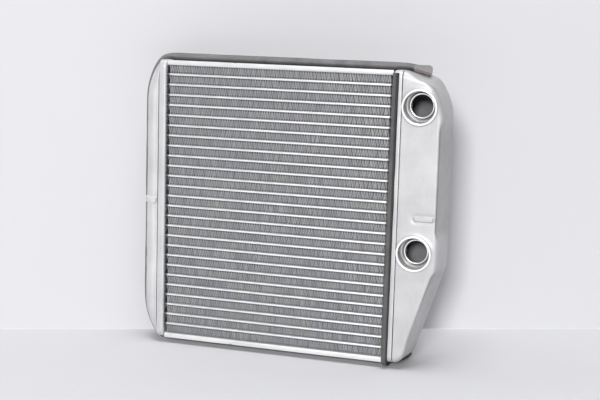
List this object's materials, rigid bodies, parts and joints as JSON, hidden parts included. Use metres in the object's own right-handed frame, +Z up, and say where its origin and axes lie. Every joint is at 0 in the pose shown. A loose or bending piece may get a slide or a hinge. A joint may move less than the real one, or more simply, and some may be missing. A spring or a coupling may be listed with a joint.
{
  "type": "car heater-core radiator",
  "caption": "Brazed aluminium heat exchanger for a car cabin heater: flat tubes and fins between two end tanks, with two socket ports on one tank and a foam edge seal.",
  "frame": {"origin": "middle of the base of the bounding box, under the bottom foam seal", "axes": "+X along the tubes towards the tank with the ports, -Y the side the ports open on, +Z up"},
  "size_m": [0.2056, 0.032, 0.1942],
  "materials": {
    "tube": "bright as-drawn sheet",
    "fin": "thin louvred sheet, grey",
    "plate": "bright rolled sheet",
    "header": "satin brazed sheet",
    "tank": "matt drawn sheet after brazing",
    "port": "turned, bright edges",
    "foam": "closed-cell foam, matt"
  },
  "bodies": {
    "root": {"tube_01": "tube", "tube_02": "tube", "tube_03": "tube", "tube_04": "tube", "tube_05": "tube", "tube_06": "tube", "tube_07": "tube", "tube_08": "tube", "tube_09": "tube", "tube_10": "tube", "tube_11": "tube", "tube_12": "tube", "tube_13": "tube", "tube_14": "tube", "tube_15": "tube", "tube_16": "tube", "tube_17": "tube", "tube_18": "tube", "tube_19": "tube", "tube_20": "tube", "tube_21": "tube", "tube_22": "tube", "tube_23": "tube", "tube_24": "tube", "tube_25": "tube", "tube_26": "tube", "fin_01": "fin", "fin_02": "fin", "fin_03": "fin", "fin_04": "fin", "fin_05": "fin", "fin_06": "fin", "fin_07": "fin", "fin_08": "fin", "fin_09": "fin", "fin_10": "fin", "fin_11": "fin", "fin_12": "fin", "fin_13": "fin", "fin_14": "fin", "fin_15": "fin", "fin_16": "fin", "fin_17": "fin", "fin_18": "fin", "fin_19": "fin", "fin_20": "fin", "fin_21": "fin", "fin_22": "fin", "fin_23": "fin", "fin_24": "fin", "fin_25": "fin", "side_plate_top": "plate", "side_plate_bottom": "plate", "header_left": "header", "header_right": "header", "tank_left": "tank", "tank_right": "tank", "port_upper": "port", "port_lower": "port", "foam_seal": "foam"}
  },
  "joints": []
}
